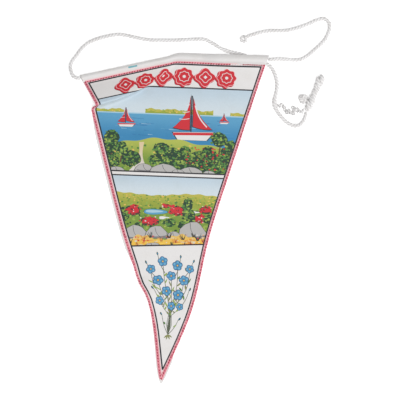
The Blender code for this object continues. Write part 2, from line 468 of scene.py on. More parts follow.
def bow(start, end, bulge, points=8):
    """A bent line from start to end, which bulges to one side."""
    start, end = np.array(start, float), np.array(end, float)
    t = np.linspace(0, 1, points)[:, None]
    side = np.array((-(end - start)[1], (end - start)[0]))
    return start + (end - start) * t + side * bulge * np.sin(math.pi * t)


def skyline(left, right, level, bottom, waves, step=1.6):
    """Land from left to right: its top edge is level plus waves of (height, length, start)."""
    x = np.arange(left, right + step, step)
    y = np.full(len(x), float(level))
    for tall, length, start in waves:
        y -= tall * np.sin(2 * math.pi * (x - start) / length)
    return [*zip(x, y), (x[-1], bottom), (x[0], bottom)]


def half_frame(down):
    return TAPER * (FRAME_LENGTH - down)


# The print, as lengths across and down the flat cut

HEADING_FOOT = 18.7
COAST_FOOT = 87.0
MEADOW_TOP = 90.2
MEADOW_FOOT = 145.1
SHORELINE = 40.0
LINE = 1.2  # width of the black frame lines
LEFT_SEAM, RIGHT_SEAM = 2.5, 2.0  # how far the sewn edge runs outside the frame lines
SEAM_WIDTH = 2.8
SEAM_END = 252.0
HEM_SEAM_START, HEM_SEAM_END = -74.0, 46.5
LAST_DASHES = 57.0  # where the hem's stitches show dark again
TEAL_MARK = ((-36.5, -5.0), (-29.0, -5.0))
PRINT_DRAW = 41  # start of the random draws
SHOWS_THROUGH = 0.14  # how much of the print the back shows
CREASED_ACROSS, CREASED_DOWN = 10.0, 62.0  # up to here the crease needs finer triangles
SHAPE_STEP = 1.8  # longest stretch of an outline without a point


def blend(one, other, share):
    share = np.asarray(share)[..., None]
    return np.asarray(one) * (1 - share) + np.asarray(other) * share


def graded(high, low, top, bottom):
    """An ink that goes from high at the top to low at the bottom."""
    return lambda across, down: blend(high, low, smooth((down - top) / (bottom - top)))


def outlined(drawing, points, ink, line=0.4, pen=BLACK):
    """A filled shape with an inked outline."""
    points = np.asarray(points, float)
    middle = points.mean(axis=0)
    reach = np.linalg.norm(points - middle, axis=1).mean()
    drawing.fill(middle + (points - middle) * (1 + line / reach), pen)
    drawing.fill(points, ink)


def dabs(drawing, draw, place, count, size, inks):
    """Small uneven strokes of several inks. place gives where the next one goes."""
    for _ in range(count):
        x, y = place()
        wide = size * (0.6 + 0.8 * draw.random())
        shape = rough(draw, x, y, wide, wide * (0.45 + 0.5 * draw.random()), points=6, depth=0.45)
        drawing.fill(shape, draw.choice(inks))


def bush(drawing, draw, x, y, wide, tall, inks=(LEAF, LEAF, MEADOW, LEAF_LIGHT)):
    """Dark foliage with lighter leaves, set a little to its left."""
    drawing.fill(rough(draw, x, y, wide, tall, points=15, depth=0.2), LEAF_DARK)

    def leaf():
        angle = draw.uniform(0, 2 * math.pi)
        reach = 0.92 * math.sqrt(draw.random())
        return x + wide * reach * math.cos(angle) - 0.08 * wide, y + tall * reach * math.sin(angle)

    dabs(drawing, draw, leaf, int(2.3 * wide * tall**0.5), 1.15, inks)
    dabs(drawing, draw, leaf, int(0.7 * wide * tall**0.5), 0.7, (LEAF_DARK, GRASS, LEAF_DARK))


def tree(drawing, draw, x, foot, tall, wide):
    """A round-topped tree on a trunk."""
    drawing.fill(ribbon(bow((x, foot), (x + 0.6, foot - 0.6 * tall), 0.04), 1.3, 0.7), TRUNK)
    bush(drawing, draw, x, foot - 0.66 * tall, wide, 0.36 * tall)


def stone(drawing, draw, x, foot, wide, tall, ink=STONE):
    """A smooth stone, with its crack and its shaded foot."""
    rise = np.array((0.0, 0.55, 0.86, 1.0, 0.93, 0.8, 0.42, 0.0))
    rise = rise + 0.07 * np.array([draw.uniform(-1, 1) for _ in rise])
    along = np.array((-1.0, -0.84, -0.5, -0.1, 0.3, 0.55, 0.88, 1.0))
    outlined(drawing, np.stack((x + wide * along, foot - tall * rise), 1), ink)
    shade = bow((x - 0.75 * wide, foot - 0.16 * tall), (x + 0.86 * wide, foot - 0.14 * tall), 0.05)
    drawing.fill(ribbon(shade, 0.12 * tall, 0.25 * tall), STONE_DARK)
    crack = bow((x - 0.15 * wide, foot - 0.9 * tall), (x + 0.25 * wide, foot - 0.1 * tall), 0.12)
    drawing.fill(ribbon(crack, 0.35, 0.2), BLACK)


def sail_boat(drawing, x, foot, size):
    """A boat under two red sails, seen from the side."""
    mast = (x, foot - 1.55 * size)
    hull = [(x - 0.62 * size, foot - 0.26 * size), (x + 0.8 * size, foot - 0.3 * size)]
    hull += [(x + 0.55 * size, foot), (x - 0.45 * size, foot)]
    outlined(drawing, hull, CLOTH, 0.04 * size)
    strake = bow(hull[0], hull[1], 0.0)
    drawing.fill(ribbon(strake + (0, 0.06 * size), 0.09 * size), RED)
    drawing.fill(ribbon(bow((x, foot - 0.3 * size), mast, 0.0), 0.045 * size), BLACK)
    main = np.concatenate(
        (bow((x - 0.05 * size, mast[1]), (x - 0.62 * size, foot - 0.42 * size), -0.12),
         bow((x - 0.62 * size, foot - 0.42 * size), (x - 0.05 * size, foot - 0.36 * size), 0.04)[1:])
    )
    fore = np.concatenate(
        (bow((x + 0.06 * size, mast[1] + 0.1 * size), (x + 0.72 * size, foot - 0.4 * size), 0.1),
         bow((x + 0.72 * size, foot - 0.4 * size), (x + 0.06 * size, foot - 0.48 * size), -0.06)[1:])
    )
    for sail in (main, fore):
        outlined(drawing, sail, RED, 0.035 * size)
    for share in (0.3, 0.52, 0.74):
        level = foot - 0.4 * size - share * 1.1 * size
        reach = 0.5 * size * (1 - share)
        seam = bow((x - 0.07 * size - reach, level), (x - 0.07 * size, level - 0.02 * size), 0.06)
        drawing.fill(ribbon(seam, 0.022 * size), CLOTH)
    stripe = bow((x + 0.12 * size, mast[1] + 0.34 * size), (x + 0.55 * size, foot - 0.47 * size), 0.08)
    drawing.fill(ribbon(stripe, 0.04 * size), CLOTH)


def draw_water(drawing, draw):
    drawing.fill(box(-66, 66, SHORELINE, 66), graded(WATER_FAR, WATER_NEAR, SHORELINE, 60))
    drawing.fill(box(-66, 66, SHORELINE, SHORELINE + 0.9), FOAM)
    for _ in range(46):
        y = SHORELINE + 2 + 20 * draw.random()
        x = draw.uniform(-56, 50)
        long = draw.uniform(3, 12)
        ink = draw.choice((WAVE, WAVE, WATER_FAR, FOAM))
        drawing.fill(ribbon(bow((x, y), (x + long, y + 0.2), 0.02, 5), 0.38, 0.15), ink)


FAR_SHORES = ((-64, -38, 37.6), (-20, 33, 36.6), (48, 66, 37.8))  # left, right, level
BOATS = ((17.0, 60.5, 23.0), (-35.5, 51.5, 10.0), (43.0, 46.5, 5.5))  # x, foot, size
SHORE_BUSHES = (
    # x, y, half its width, half its height
    (-52, 76, 12, 9), (-30, 77, 9, 7), (8, 77, 16, 8), (30, 77, 18, 9),
    (50, 70, 10, 7), (-2, 82, 14, 5), (44, 82, 12, 6),
)
SHORE_TREES = (
    # x, foot, height, half the crown's width
    (-46, 74, 20, 6.5), (-38.5, 80, 17, 5.6), (40, 71, 18, 7), (49, 74, 15, 5),
)
NEAR_BUSHES = (
    # x, y, half its width, half its height
    (-49, 68, 7, 6), (-44, 80, 6, 5), (-37, 70, 5, 5), (-6, 68, 7, 5.5),
    (2, 73, 8, 6.5), (-10, 77, 6, 5), (32, 70, 6.5, 5.5), (24, 76, 8, 6),
    (36, 80, 7, 6), (11, 80, 6, 5), (45, 80, 5, 5), (13, 69, 5, 3.6),
)
SHORE_STONES = (
    # x, foot, half its width, height
    (-19, 86.6, 8, 6), (-3, 88, 12, 7.6), (18, 88, 10, 6.2),
    (-41, 88, 7, 4.2), (33, 88.5, 6, 4), (8, 87.4, 5, 3),
)


def draw_coast(drawing, draw):
    """The upper picture: a bay with boats under sail, and a stony shore with trees."""
    drawing.fill(box(-68, 68, HEADING_FOOT, SHORELINE), graded(SKY_HIGH, SKY_LOW, 18, 38))
    for left, right, level in FAR_SHORES:
        far = skyline(left, right, level, SHORELINE + 0.4, ((0.5, 17, left), (0.35, 6.3, 2)))
        drawing.fill(far, SHORE)
        under = skyline(left, right, level + 1.9, SHORELINE + 0.4, ((0.4, 9, 1),))
        drawing.fill(under, HILL)
        dabs(drawing, draw, lambda: (draw.uniform(left, right), level + draw.uniform(0.6, 2.8)),
             int((right - left) * 0.7), 0.8, (MEADOW, LEAF_LIGHT, HILL, STRAW))
    draw_water(drawing, draw)
    for x, foot, size in BOATS:
        sail_boat(drawing, x, foot, size)
    land = skyline(-62, 62, 62.5, COAST_FOOT + 1, ((2.6, 96, -30), (0.7, 23, 4)))
    drawing.fill(land, graded(GRASS, MEADOW, 60, 80))
    dabs(drawing, draw, lambda: (draw.uniform(-54, 54), draw.uniform(65, 86)), 150, 1.3,
         (GRASS, LEAF_LIGHT, MEADOW, LEAF, STRAW))
    sand = np.concatenate(
        (bow((-24, 63.5), (-33, 88), -0.16), bow((-14, 88), (-20, 63.2), -0.14))
    )
    drawing.fill(sand, graded(SAND, STONE_LIGHT, 63, 86))
    for x, y, wide, tall in SHORE_BUSHES:
        bush(drawing, draw, x, y, wide, tall, (LEAF, LEAF, LEAF_DARK, MEADOW))
    for x, foot, tall, wide in SHORE_TREES:
        tree(drawing, draw, x, foot, tall, wide)
    for x, y, wide, tall in NEAR_BUSHES:
        bush(drawing, draw, x, y, wide, tall)
    dabs(drawing, draw, lambda: (draw.uniform(14, 46), draw.uniform(66, 84)), 40, 0.9, (RED, RED, DEEP_RED))
    for x, foot, wide, tall in SHORE_STONES:
        stone(drawing, draw, x, foot, wide, tall)


def draw_poppies(drawing, draw, x, y, wide, tall):
    """A bed of red flowers among dark leaves."""
    drawing.fill(rough(draw, x, y + 0.5, wide + 0.7, tall + 0.5, points=15, depth=0.3), LEAF_DARK)
    drawing.fill(rough(draw, x, y, 0.86 * wide, 0.8 * tall, points=13, depth=0.3), RED)

    def spot():
        angle = draw.uniform(0, 2 * math.pi)
        reach = math.sqrt(draw.random())
        return x + wide * reach * math.cos(angle), y + tall * reach * math.sin(angle)

    dabs(drawing, draw, spot, int(5 * wide), 1.15, (RED, RED, RED, DEEP_RED, RED))
    dabs(drawing, draw, spot, int(1.6 * wide), 0.7, (DEEP_RED, PINK, LEAF_DARK, LEAF, CLOTH))


def tuft(drawing, draw, x, y, tall, inks):
    """A fan of dry blades of grass."""
    for _ in range(8):
        lean = draw.uniform(-0.55, 0.55)
        tip = (x + lean * tall + draw.uniform(-0.5, 0.5), y - tall * draw.uniform(0.6, 1.0))
        blade = bow((x + draw.uniform(-0.8, 0.8), y), tip, 0.12 * lean, 4)
        drawing.fill(ribbon(blade, 0.62, 0.14), draw.choice(inks))


POPPY_BEDS = (
    # x, y, half its width, half its height
    (-27, 117.5, 6.6, 3.9), (8.5, 117.0, 7.6, 4.2), (31, 116.0, 5.4, 3.2),
    (-14, 125.6, 8.0, 3.8), (26.5, 123.6, 5.6, 3.4), (-1, 113.4, 3.6, 1.6),
)
MEADOW_BUSHES = (
    # x, y, half its width, half its height
    (16.5, 113.5, 4.6, 8.0), (19.5, 121.5, 3.8, 6), (-34, 122, 4.4, 4.6), (2, 127, 6, 4),
    (-22.5, 130, 4, 3.6), (12.5, 129, 4.6, 3.6), (33, 124, 4, 4.4),
)
MEADOW_STONES = (
    # x, foot, half its width, height
    (-25.5, 140.5, 10.5, 12.0), (20.5, 141.5, 12.0, 16.0), (-8.0, 139.5, 10.0, 9.5), (5.5, 140.0, 6.0, 6.0),
)
DARK_BLADES, RUSSET_BLADES = (LEAF_DARK, TRUNK, BLACK), (ORANGE, TRUNK, DEEP_RED, ORANGE)
TUFTS = (
    # x, foot, height, inks
    (-29, 143, 5, DARK_BLADES), (-19, 141, 4.2, RUSSET_BLADES), (-13.5, 139, 5.2, DARK_BLADES),
    (-5, 142, 4.4, RUSSET_BLADES), (1.5, 139.5, 5.6, DARK_BLADES), (7, 143.5, 4.6, RUSSET_BLADES),
    (12.5, 141, 5.4, DARK_BLADES), (17.5, 144.5, 4.4, RUSSET_BLADES), (24, 142, 6.2, DARK_BLADES),
    (29, 144, 5.6, RUSSET_BLADES), (-24, 145, 3.2, RUSSET_BLADES), (21, 139, 4.4, DARK_BLADES),
    (3.5, 145.2, 3, DARK_BLADES), (-9, 145.3, 3.2, DARK_BLADES), (14, 145.5, 3.4, RUSSET_BLADES),
)


def draw_meadow(drawing, draw):
    """The lower picture: low hills, beds of red flowers, a pond, stones and dry grass."""
    drawing.fill(box(-47, 47, MEADOW_TOP - 1, 107), graded(SKY_HIGH, SKY_LOW, 89, 104))
    hills = skyline(-46, 46, 104.6, 124, ((0.9, 60, 5), (0.4, 11, 1)))
    drawing.fill(hills, graded(SHORE, HILL, 104, 113))
    dabs(drawing, draw, lambda: (draw.uniform(-42, 42), 105.5 + 9 * draw.random() ** 1.4), 230, 1.0,
         (SHORE, STRAW, HILL, MEADOW, LEAF, LEAF_LIGHT))
    drawing.fill(skyline(-42, 42, 115.5, 146, ((1.1, 37, 0), (0.5, 9, 2))), MEADOW)
    dabs(drawing, draw, lambda: (draw.uniform(-38, 38), draw.uniform(115, 134)), 190, 1.25,
         (LEAF, LEAF_LIGHT, GRASS, MEADOW, LEAF_DARK))
    outlined(drawing, blob(-9.5, 118.6, 9.5, 2.1, 3, 0.08), WATER_FAR, 0.3)
    drawing.fill(blob(-10.5, 118.2, 7.0, 1.1, 3, 0.1), FOAM)
    for x, y, wide, tall in POPPY_BEDS:
        draw_poppies(drawing, draw, x, y, wide, tall)
    drawing.fill(blob(-2.5, 123.2, 4.2, 1.1, 3, 0.2), CLOTH)
    drawing.fill(blob(22.0, 118.4, 3.6, 0.9, 3, 0.2), CLOTH)
    for x, y, wide, tall in MEADOW_BUSHES:
        bush(drawing, draw, x, y, wide, tall)
    for x, foot, wide, tall in MEADOW_STONES:
        stone(drawing, draw, x, foot, wide, tall)
    straw = skyline(-34, 34, 138.6, 147, ((1.8, 31, 3), (0.9, 9, 1)))
    drawing.fill(straw, graded(STRAW, STRAW_DEEP, 137, 146))
    for k in range(15):
        x, y = draw.uniform(-30, 26), draw.uniform(139.5, 145)
        swath = bow((x, y), (x + draw.uniform(5, 11), y + draw.uniform(-1, 1)), draw.uniform(-0.12, 0.12))
        drawing.fill(ribbon(swath, 1.1, 0.3), (ORANGE, STRAW_LIGHT, SAND)[k % 3])
    dabs(drawing, draw, lambda: (draw.uniform(-31, 31), draw.uniform(137, 145.5)), 60, 0.9,
         (ORANGE, ORANGE, SAND, RED, STONE_LIGHT))
    for x, y, tall, inks in TUFTS:
        tuft(drawing, draw, x, y, tall, inks)
    stone(drawing, draw, -12.0, 147.0, 7.5, 4.2)


def leaf_shape(x, y, long, wide, angle):
    t = np.linspace(0, 1, 6)
    half = wide * np.sin(math.pi * t) / 2
    upper = np.stack((long * t, half), 1)
    lower = np.stack((long * t, -half), 1)[-2:0:-1]
    shape = np.concatenate((upper, lower))
    c, s = math.cos(angle), math.sin(angle)
    return np.stack((x + shape[:, 0] * c - shape[:, 1] * s, y + shape[:, 0] * s + shape[:, 1] * c), 1)


def blossom(drawing, x, y, size, turn):
    """A flower of five round petals."""
    for reach, round_, ink, shift in ((0.56, 0.56, BLOSSOM_DARK, 0), (0.56, 0.44, BLOSSOM, 0),
                                      (0.7, 0.2, BLOSSOM_LIGHT, 0.12)):
        for k in range(5):
            angle = turn + 2 * math.pi * k / 5 + shift
            px, py = x + size * reach * math.cos(angle), y + size * reach * math.sin(angle)
            drawing.fill(blob(px, py, size * round_, size * round_, points=10), ink)
    drawing.fill(blob(x, y, 0.3 * size, 0.3 * size, points=8), BLOSSOM_DARK)
    drawing.fill(blob(x, y, 0.19 * size, 0.19 * size, points=7), STRAW)


SPRAY_FOOT = (-0.5, 216.5)
BLOSSOMS = (
    # x, y, size
    (-14.2, 163.5, 3.2), (-4.6, 157.8, 3.5), (6.8, 161.6, 3.6), (16.4, 164.8, 3.0),
    (-9.0, 172.6, 3.6), (1.2, 169.6, 3.3), (11.0, 173.6, 3.5), (-3.4, 181.6, 3.5),
    (5.8, 184.8, 3.7), (-9.6, 189.2, 3.2), (0.2, 193.6, 3.0), (7.2, 194.0, 2.6),
)
BUDS = (
    # x, y, lean
    (-8.2, 152.2, -0.15), (9.8, 155.4, 0.1), (-17.4, 158.6, -0.3), (19.6, 159.4, 0.35),
    (-13.4, 179.0, -0.45), (14.8, 181.2, 0.45), (-7.4, 200.6, -0.5), (6.8, 204.0, 0.6),
)


def draw_spray(drawing, draw):
    """A spray of small blue flowers on the white point of the pennant."""
    foot = np.array(SPRAY_FOOT)
    joints = []
    for x, y, size in BLOSSOMS:
        fork = foot + (0.16 * x, -13 - 0.22 * (205 - y))
        stalk = np.concatenate((bow((x, y), fork, -0.006 * x, 7), bow(fork, foot, 0.01 * x, 4)[1:]))
        drawing.fill(ribbon(stalk, 0.5, 0.4), STEM)
        joints += [(stalk[k], x) for k in (2, 3, 4, 6)]
    for x, y, lean in BUDS:
        end, base = np.array((x, y)), np.array((0.42 * x, y + 15))
        if y > 195:
            base = foot
        drawing.fill(ribbon(bow(base, end, 0.06 if lean > 0 else -0.06, 7), 0.55, 0.4), STEM)
        joints.append(((base + end) / 2, x))
    for (x, y), side in joints:
        lean = 1 if draw.random() < 0.5 else -1
        angle = -math.pi / 2 + lean * draw.uniform(0.3, 0.85) + 0.012 * side
        long = draw.uniform(3.2, 5.4) * (1 if y < 196 else 0.6)
        shape = leaf_shape(x, y, long, draw.uniform(0.8, 1.3), angle)
        outlined(drawing, shape, draw.choice((BUD, BUD, LEAF, LEAF_LIGHT)), 0.2, STEM)
    for x, y, size in BLOSSOMS:
        blossom(drawing, x, y, 1.06 * size, draw.uniform(0, 1.2))
    for x, y, lean in BUDS:
        drawing.fill(leaf_shape(x, y + 0.8, 3.1, 1.5, -math.pi / 2 + lean), LEAF_DARK)
        drawing.fill(leaf_shape(x, y + 0.2, 1.7, 0.7, -math.pi / 2 + lean), BLOSSOM)
    for lean in (-1.1, -0.5, 0.2, 0.75):
        drawing.fill(leaf_shape(*foot, 4.4, 1.2, math.pi / 2 + lean), BUD)


ORNAMENTS, FIRST_ORNAMENT, ORNAMENTS_APART, ORNAMENTS_DOWN = 6, -41.0, 17.0, 9.7


def draw_heading(drawing):
    """A row of six red ornaments, each with a pale line inside and a darker shadow."""
    for k in range(ORNAMENTS):
        x, y = FIRST_ORNAMENT + ORNAMENTS_APART * k, ORNAMENTS_DOWN
        if k % 2:
            shape = blob(0, 0, 7.6, 7.0, 8, 0.08, points=48)
        else:
            shape = blob(0, 0, 7.3, 6.7, 4, 0.15, points=40)
        for step in (1.5, 1.0, 0.5):
            drawing.fill(shape * 1.03 + (x - 0.8 * step, y + 0.75 * step), DEEP_RED if step > 1.2 else RED)
        for scale, ink in ((1.0, PINK), (0.95, RED), (0.6, CLOTH), (0.53, RED), (0.17, CLOTH)):
            drawing.fill(shape * scale + (x, y), ink)


def draw_frame(drawing):
    """The white borders and the black lines round the pictures."""
    edge = 12.0
    wide_top, end = half_frame(HEM_UNDER) + edge, FRAME_LENGTH
    for side in (-1, 1):
        drawing.fill(
            [(side * half_frame(0), 0), (side * wide_top, HEM_UNDER - 3), (side * wide_top, end + 14),
             (0, end + 14), (0, end)],
            CLOTH,
        )
        line = np.array([(side * half_frame(d), d) for d in np.linspace(-0.4, end, 40)])
        drawing.fill(ribbon(line, LINE), BLACK)
    for down, thick in ((0.0, 1.25), (HEADING_FOOT, 1.05), (COAST_FOOT, 1.1), (MEADOW_TOP, 1.0),
                        (MEADOW_FOOT, 1.1)):
        reach = half_frame(down) + LINE / 2
        drawing.fill(box(-reach, reach, down - thick / 2, down + thick / 2), BLACK)


def seam_place(side, down, out):
    """A place on the sewn edge: side is -1 at the left and 1 at the right."""
    return side * (half_frame(down) + out)


def draw_print():
    drawing, draw = Drawing(), random.Random(PRINT_DRAW)
    drawing.fill(cut_outline(), CLOTH)
    draw_coast(drawing, draw)
    draw_meadow(drawing, draw)
    drawing.fill(box(-74, 74, 0, HEADING_FOOT), CLOTH)
    drawing.fill(box(-50, 50, COAST_FOOT, MEADOW_TOP), CLOTH)
    drawing.fill(box(-32, 32, MEADOW_FOOT, FRAME_LENGTH), CLOTH)
    draw_frame(drawing)
    draw_heading(drawing)
    draw_spray(drawing, draw)
    downs = np.linspace(STITCH, SEAM_END, 60)
    for side, out in ((-1, LEFT_SEAM), (1, RIGHT_SEAM)):
        for inwards, wide, ink in ((0.0, SEAM_WIDTH, ROSE), (0.45 * SEAM_WIDTH, 0.5, PINK)):
            line = [(seam_place(side, d, out - inwards), d) for d in downs]
            drawing.fill(ribbon(line, wide), ink)
    drawing.fill(ribbon([(x, STITCH - 0.2) for x in np.linspace(-74, 47, 50)], 1.6), ROSE)
    drawing.fill(ribbon([(x, STITCH - 0.9) for x in np.linspace(-73, 52, 50)], 0.6), PINK)
    drawing.fill(ribbon(bow(TEAL_MARK[0], TEAL_MARK[1], 0.0), 1.2), TEAL)
    return drawing


def cut_outline():
    """The edge of the flat cut, once round."""
    downs = np.arange(HEM_UNDER, TIP, 1.0)
    downs = np.append(downs, TIP)
    right = np.stack((right_edge(downs), downs), 1)
    left = np.stack((left_edge(downs), downs), 1)[::-1]
    return np.concatenate((right, left))


def cut_points():
    """Places inside the cut where the cloth needs points to bend."""
    turned_under = np.arange(HEM_UNDER + 0.5, -10.5, 1.0)
    round_cord = np.arange(-10.4, 0.4, 0.42)
    creased = np.arange(0.8, CREASED_DOWN, 1.15)
    even = np.arange(CREASED_DOWN + 1, TIP - 1, 2.1)
    places = []
    for down in (*turned_under, *round_cord, *creased, *even):
        across, right = left_edge(down) + 0.7, right_edge(down) - 0.7
        while across < right:
            places.append((across, down))
            across += 1.3 if across < CREASED_ACROSS and down < CREASED_DOWN else 2.3
    return places


# Making the pieces

SHARP = 50  # degrees past which an edge of the cloth is drawn sharp
UV_SPAN = 285.0
FACE_RIGHT, FACE_UP = 79.0, 257.0  # the face stands upright in the map, the back upside down beside it
BACK_RIGHT, BACK_UP = 163.0, 18.0


def new_piece(name, vertices, faces, material, smooth_angle=None):
    mesh = bpy.data.meshes.new(name)
    mesh.from_pydata([tuple(v) for v in vertices], [], faces)
    mesh.materials.append(material)
    mesh.update()
    mesh.shade_smooth()
    if smooth_angle:
        mesh.set_sharp_from_angle(angle=math.radians(smooth_angle))
    piece = bpy.data.objects.new(name, mesh)
    bpy.context.scene.collection.objects.link(piece)
    return piece


def cut_cloth(drawing):
    """The flat cut in triangles: places, triangles, and the shape that each triangle shows."""
    points, faces = [], []
    for outline, ink in drawing.shapes:
        outline = spaced(outline, SHAPE_STEP)
        faces.append(list(range(len(points), len(points) + len(outline))))
        points.extend(Vector(p) for p in outline)
    inner = cut_points()
    bends = range(len(points), len(points) + len(inner))
    points.extend(Vector(p) for p in inner)
    places, _, triangles, origins, _, sources = delaunay_2d_cdt(points, [], faces, 1, 1e-4, True)
    first = {}
    alike = [first.setdefault(id(ink), k) for k, (_, ink) in enumerate(drawing.shapes)]
    kept = [(t, alike[max(s)]) for t, s in zip(triangles, sources) if 0 in s]
    inside = {v for t, _ in kept for v in t}
    bending = {v for v in inside if any(k in bends for k in origins[v])}
    return without_hidden_lines(places, kept, bending)


def without_hidden_lines(places, kept, bending):
    """New triangles from only the lines between two inks and the points where cloth bends."""
    shown = {}
    for triangle, source in kept:
        for one, other in zip(triangle, (triangle[1], triangle[2], triangle[0])):
            shown[one, other] = source
    lines = [(a, b) for (a, b), source in shown.items() if shown.get((b, a)) != source]
    used = sorted({v for line in lines for v in line} | bending)
    index = {v: i for i, v in enumerate(used)}
    onward = {a: b for a, b in lines if (b, a) not in shown}
    rim = [min(onward)]
    while len(rim) < len(onward):
        rim.append(onward[rim[-1]])
    flat = BVHTree.FromPolygons([(*p, 0.0) for p in places], [t for t, _ in kept])
    lines = [(index[a], index[b]) for a, b in lines if a < b]
    points, outline = [places[v] for v in used], [index[v] for v in rim]
    places, _, triangles, _, _, owners = delaunay_2d_cdt(points, lines, [outline], 1, 1e-5, True)
    places = np.array([p[:] for p in places])
    triangles = np.array([t for t, owner in zip(triangles, owners) if owner])
    middles = places[triangles].mean(axis=1)
    sources = [kept[flat.find_nearest((x, y, 0.0))[2]][1] for x, y in middles]
    return places, triangles, np.array(sources)


def spaced(outline, step):
    """A closed outline with points no further apart than step."""
    made = []
    for one, other in zip(outline, np.roll(outline, -1, axis=0)):
        count = max(1, math.ceil(np.linalg.norm(other - one) / step))
        made.extend(one + (other - one) * k / count for k in range(count))
    return np.array(made)


def ink_colours(drawing, places, triangles, sources):
    """The colour at each corner of each triangle."""
    corners = places[triangles]
    colours = np.ones((len(triangles), 3, 4))
    for source in np.unique(sources):
        ink, chosen = drawing.shapes[source][1], sources == source
        if callable(ink):
            colours[chosen, :, :3] = ink(corners[chosen][..., 0], corners[chosen][..., 1])
        else:
            colours[chosen, :, :3] = ink
    return colours


def make_cloth(material):
    """The printed cloth: the flat cut in triangles, laid as it lies, with a back and a rim."""
    drawing = draw_print()
    places, triangles, sources = cut_cloth(drawing)
    across, down = places[:, 0], places[:, 1]
    count = len(places)
    vertices = np.concatenate((lay(across, down, THIN), lay(across, down, 0.0)))
    front = [tuple(t[::-1]) for t in triangles]
    back = [tuple(t + count) for t in triangles]
    sides = {}
    for t in front:
        for one, other in zip(t, (t[1], t[2], t[0])):
            sides[(one, other)] = sides.get((one, other), 0) + 1
    rim = [(b, a, a + count, b + count) for a, b in sides if (b, a) not in sides]
    piece = new_piece("printed_pennant_cloth", vertices, front + back + rim, material, SHARP)
    mesh = piece.data

    inks = ink_colours(drawing, places, triangles, sources)
    face_inks = inks[:, ::-1].reshape(-1, 4)
    ghost = (1 - SHOWS_THROUGH) * np.array((*CLOTH, 1.0)) + SHOWS_THROUGH * inks.reshape(-1, 4)
    plain = np.tile((*CLOTH, 1.0), (4 * len(rim), 1))
    colour = mesh.color_attributes.new("print_ink", "FLOAT_COLOR", "CORNER")
    colour.data.foreach_set("color", np.concatenate((face_inks, ghost, plain)).ravel())

    over = np.stack((across + FACE_RIGHT, FACE_UP - down), 1) / UV_SPAN
    under = np.stack((BACK_RIGHT - across, down + BACK_UP), 1) / UV_SPAN
    layout = mesh.uv_layers.new(name="OFBake")
    both = np.concatenate((over, under))
    corner_vertices = np.empty(len(mesh.loops), dtype=np.int32)
    mesh.loops.foreach_get("vertex_index", corner_vertices)
    corner_vertices[3 * len(front) + 3 * len(back) :] %= count
    layout.data.foreach_set("uv", both[corner_vertices].ravel())
    return piece


# Cords


def smooth_route(points, step):
    """Evenly spaced points on the smooth curve through a route's own points."""
    points = np.asarray(points, float)
    ends = [2 * points[0] - points[1], *points, 2 * points[-1] - points[-2]]
    fine = []
    for a, b, c, d in zip(ends, ends[1:], ends[2:], ends[3:]):
        for i in range(20):
            t = i / 20
            fine.append(
                0.5 * (2 * b + (c - a) * t + (2 * a - 5 * b + 4 * c - d) * t**2
                       + (3 * b - a - 3 * c + d) * t**3)
            )
    fine.append(points[-1])
    return evenly(np.array(fine), step)


def evenly(points, step):
    runs = np.concatenate(([0.0], np.cumsum(np.linalg.norm(np.diff(points, axis=0), axis=1))))
    wanted = np.linspace(0, runs[-1], max(2, round(runs[-1] / step) + 1))
    return np.stack([np.interp(wanted, runs, points[:, k]) for k in range(3)], 1)


def frames_along(points):
    """Side and up directions at each point, which turn as little as they can."""
    along = np.gradient(points, axis=0)
    along /= np.linalg.norm(along, axis=1, keepdims=True)
    side = np.cross(along[0], (0.0, 0.0, 1.0))
    sides, ups = [], []
    for direction in along:
        side = side - direction * side.dot(direction)
        side /= np.linalg.norm(side)
        sides.append(side)
        ups.append(np.cross(side, direction))
    return along, np.array(sides), np.array(ups)


def strand_outline(strands, sides):
    """Radius all round a twisted cord of radius 1, where its strands bulge."""
    small = {2: 0.66, 3: 0.62}[strands]
    apart = 1 - small
    angle = 2 * math.pi * np.arange(sides) / sides
    pitch = 2 * math.pi / strands
    from_strand = (angle + pitch / 2) % pitch - pitch / 2
    radius = apart * np.cos(from_strand) + np.sqrt(
        np.maximum(small**2 - (apart * np.sin(from_strand)) ** 2, 0.04)
    )
    return angle, radius / radius.max()


def twisted(name, points, radii, material, lay_length=8.0, strands=3, sides=18, closed=False):
    """A cord of twisted strands along these points, in millimetres."""
    radii = np.broadcast_to(radii, len(points)).astype(float)
    runs = np.concatenate(([0.0], np.cumsum(np.linalg.norm(np.diff(points, axis=0), axis=1))))
    if closed:
        turns = round(runs[-1] / lay_length) / runs[-1]
    else:
        turns = 1 / lay_length
    _, side, up = frames_along(points)
    angle, outline = strand_outline(strands, sides)
    vertices, groove_shade = [], []
    ends = np.ones(len(points))
    if not closed:
        for k, share in enumerate((0.35, 0.7, 0.9)):
            ends[k] = ends[-1 - k] = share
    for k, point in enumerate(points):
        turned = angle + 2 * math.pi * turns * runs[k]
        reach = (radii[k] * ends[k] * outline)[:, None]
        ring = side[k] * np.cos(turned)[:, None] + up[k] * np.sin(turned)[:, None]
        vertices.append(MM * (point + reach * ring))
        groove_shade.append(outline)
    rings = len(points)
    faces, uvs = [], []
    for k in range(rings - 1):
        for j in range(sides):
            n = (j + 1) % sides
            faces.append((k * sides + j, k * sides + n, (k + 1) * sides + n, (k + 1) * sides + j))
            one, other = runs[k] / 10, runs[k + 1] / 10
            uvs += [(one, j / sides), (one, (j + 1) / sides), (other, (j + 1) / sides), (other, j / sides)]
    faces.append(tuple(range(sides))[::-1])
    faces.append(tuple(range((rings - 1) * sides, rings * sides)))
    uvs += [(0.0, 0.5)] * (2 * sides)
    vertices = np.concatenate(vertices)
    piece = new_piece(name, vertices, faces, material)
    layout = piece.data.uv_layers.new(name="strands")
    layout.data.foreach_set("uv", np.array(uvs).ravel())
    # Painted shade: how far in each point lies between the strands, which the cord's finish darkens as
    # shade in the grooves.
    depth = piece.data.attributes.new("groove_shade", "FLOAT", "POINT")
    shade = (1 - np.concatenate(groove_shade)) / (1 - outline.min())
    depth.data.foreach_set("value", shade)
    face_outwards(piece)
    return piece


